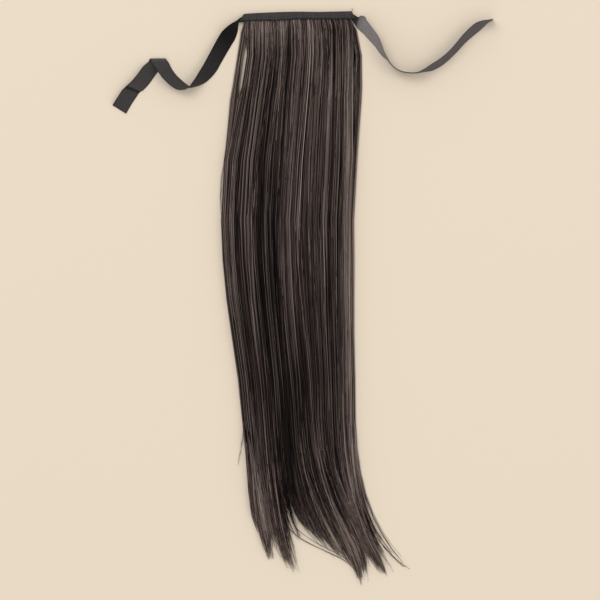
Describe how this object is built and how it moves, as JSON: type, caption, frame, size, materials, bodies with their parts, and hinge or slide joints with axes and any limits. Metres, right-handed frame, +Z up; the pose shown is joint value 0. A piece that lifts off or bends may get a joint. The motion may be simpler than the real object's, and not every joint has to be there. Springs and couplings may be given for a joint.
{
  "type": "ponytail hairpiece",
  "caption": "Long straight ponytail hairpiece on a folded ribbon band, with ribbon ties at both ends of the band.",
  "frame": {"origin": "middle of the footprint, on the surface that the hairpiece lies on", "axes": "+Y along the hair towards the band, +X to the right seen from above, +Z up out of the surface"},
  "size_m": [0.3974, 0.6006, 0.0167],
  "materials": {
    "ribbon": "matte fine weave, charcoal",
    "hair": "soft sheen, very dark brown straight fibre"
  },
  "bodies": {
    "root": {"band": "ribbon", "tie_left": "ribbon", "tie_right": "ribbon", "weft_back": "hair", "weft_front": "hair"}
  },
  "joints": []
}
